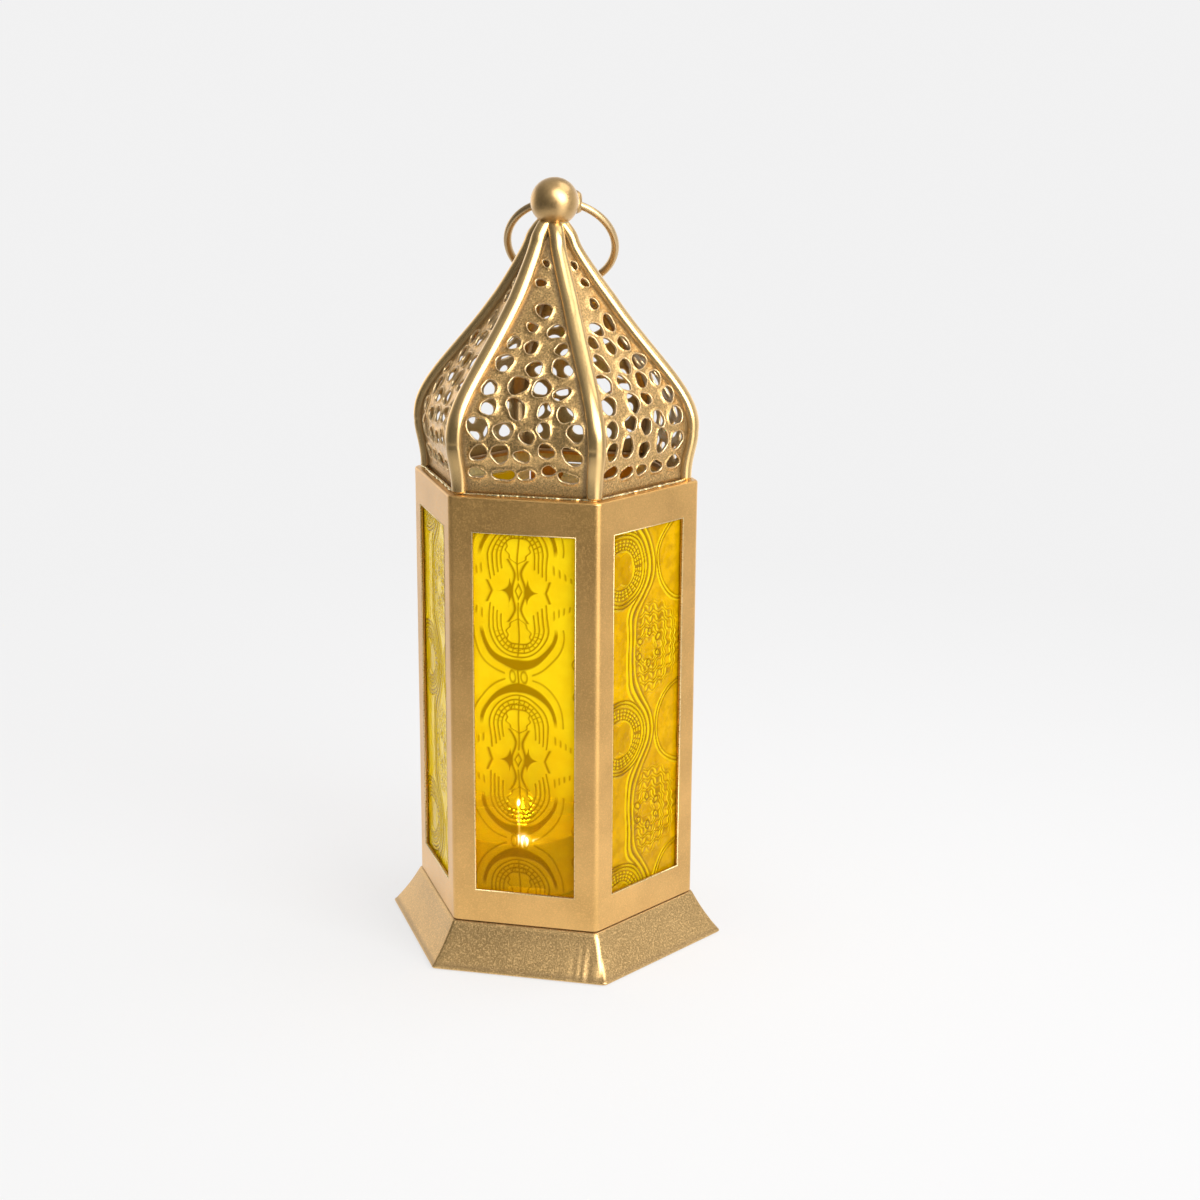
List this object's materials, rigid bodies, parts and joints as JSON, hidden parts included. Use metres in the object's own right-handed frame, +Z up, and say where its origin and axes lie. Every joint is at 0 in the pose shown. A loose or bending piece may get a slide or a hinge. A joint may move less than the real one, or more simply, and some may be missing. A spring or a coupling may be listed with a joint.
{
  "type": "candle lantern",
  "caption": "Hexagonal glazed metal candle lantern with a pierced ogee roof, ball finial, hanging ring, hinged rear door and tealight.",
  "frame": {"origin": "centre of the base's underside, where the lantern rests", "axes": "+Z up; two corners of the hexagon point along X; the front face looks along -Y and the door is on the +Y face"},
  "size_m": [0.09, 0.078, 0.1956],
  "materials": {
    "casing_paint": "satin gold paint on folded sheet steel",
    "skirt_paint": "satin gold paint with a fine sparkle",
    "roof_paint": "satin gold paint on pierced sheet steel",
    "rib_paint": "semi-gloss gold paint",
    "fittings_paint": "satin gold paint",
    "ring_paint": "satin gold paint on steel wire",
    "inner_tin": "matt gold paint, dusted inside",
    "amber_glass": "amber pressed glass with a relief on one side",
    "candle_foil": "thin bright foil",
    "candle_wax": "paraffin wax, slightly translucent",
    "wick_cotton": "charred cotton"
  },
  "bodies": {
    "root": {"base_skirt": "skirt_paint", "body_frame": "casing_paint", "floor_plate": "inner_tin", "glass_pane_1": "amber_glass", "glass_pane_2": "amber_glass", "glass_pane_3": "amber_glass", "glass_pane_4": "amber_glass", "glass_pane_5": "amber_glass", "pane_clip_bottom_1": "inner_tin", "pane_clip_bottom_2": "inner_tin", "pane_clip_bottom_3": "inner_tin", "pane_clip_bottom_4": "inner_tin", "pane_clip_bottom_5": "inner_tin", "pane_clip_top_1": "inner_tin", "pane_clip_top_2": "inner_tin", "pane_clip_top_3": "inner_tin", "pane_clip_top_4": "inner_tin", "pane_clip_top_5": "inner_tin", "hinge_lower_body_leaf": "fittings_paint", "hinge_lower_pin": "fittings_paint", "hinge_upper_body_leaf": "fittings_paint", "hinge_upper_pin": "fittings_paint", "door_catch_rivet": "fittings_paint", "dome_rib_1": "rib_paint", "dome_rib_2": "rib_paint", "dome_rib_3": "rib_paint", "dome_rib_4": "rib_paint", "dome_rib_5": "rib_paint", "dome_rib_6": "rib_paint", "dome_panel_1": "roof_paint", "dome_panel_2": "roof_paint", "dome_panel_3": "roof_paint", "dome_panel_4": "roof_paint", "dome_panel_5": "roof_paint", "dome_panel_6": "roof_paint", "crown_cap": "roof_paint", "finial_ball": "fittings_paint", "hanger_eye": "fittings_paint", "tealight_cup": "candle_foil", "tealight_wax": "candle_wax", "wick_foot": "candle_foil", "wick": "wick_cotton"},
    "door": {"door_frame": "casing_paint", "door_glass": "amber_glass", "door_clip_bottom": "inner_tin", "door_clip_top": "inner_tin", "door_knob": "fittings_paint", "hinge_lower_door_leaf": "fittings_paint", "hinge_upper_door_leaf": "fittings_paint"},
    "catch": {"door_catch": "fittings_paint"},
    "ring": {"hanging_ring": "ring_paint"}
  },
  "joints": [
    {"name": "door_swing", "type": "hinge", "parent": "root", "child": "door", "pos_m": [0.01959, 0.03392, 0.06645], "axis": [0, 0, -1], "range_deg": [0, 175]},
    {"name": "catch_turn", "type": "hinge", "parent": "root", "child": "catch", "pos_m": [-0.0162, 0.0328, 0.06645], "axis": [0, -1, 0], "range_deg": [0, 90]},
    {"name": "ring_swing", "type": "hinge", "parent": "root", "child": "ring", "pos_m": [-0.00153, 0.00867, 0.18825], "axis": [0.9848, 0.1736, 0], "range_deg": [-12, 262]}
  ]
}
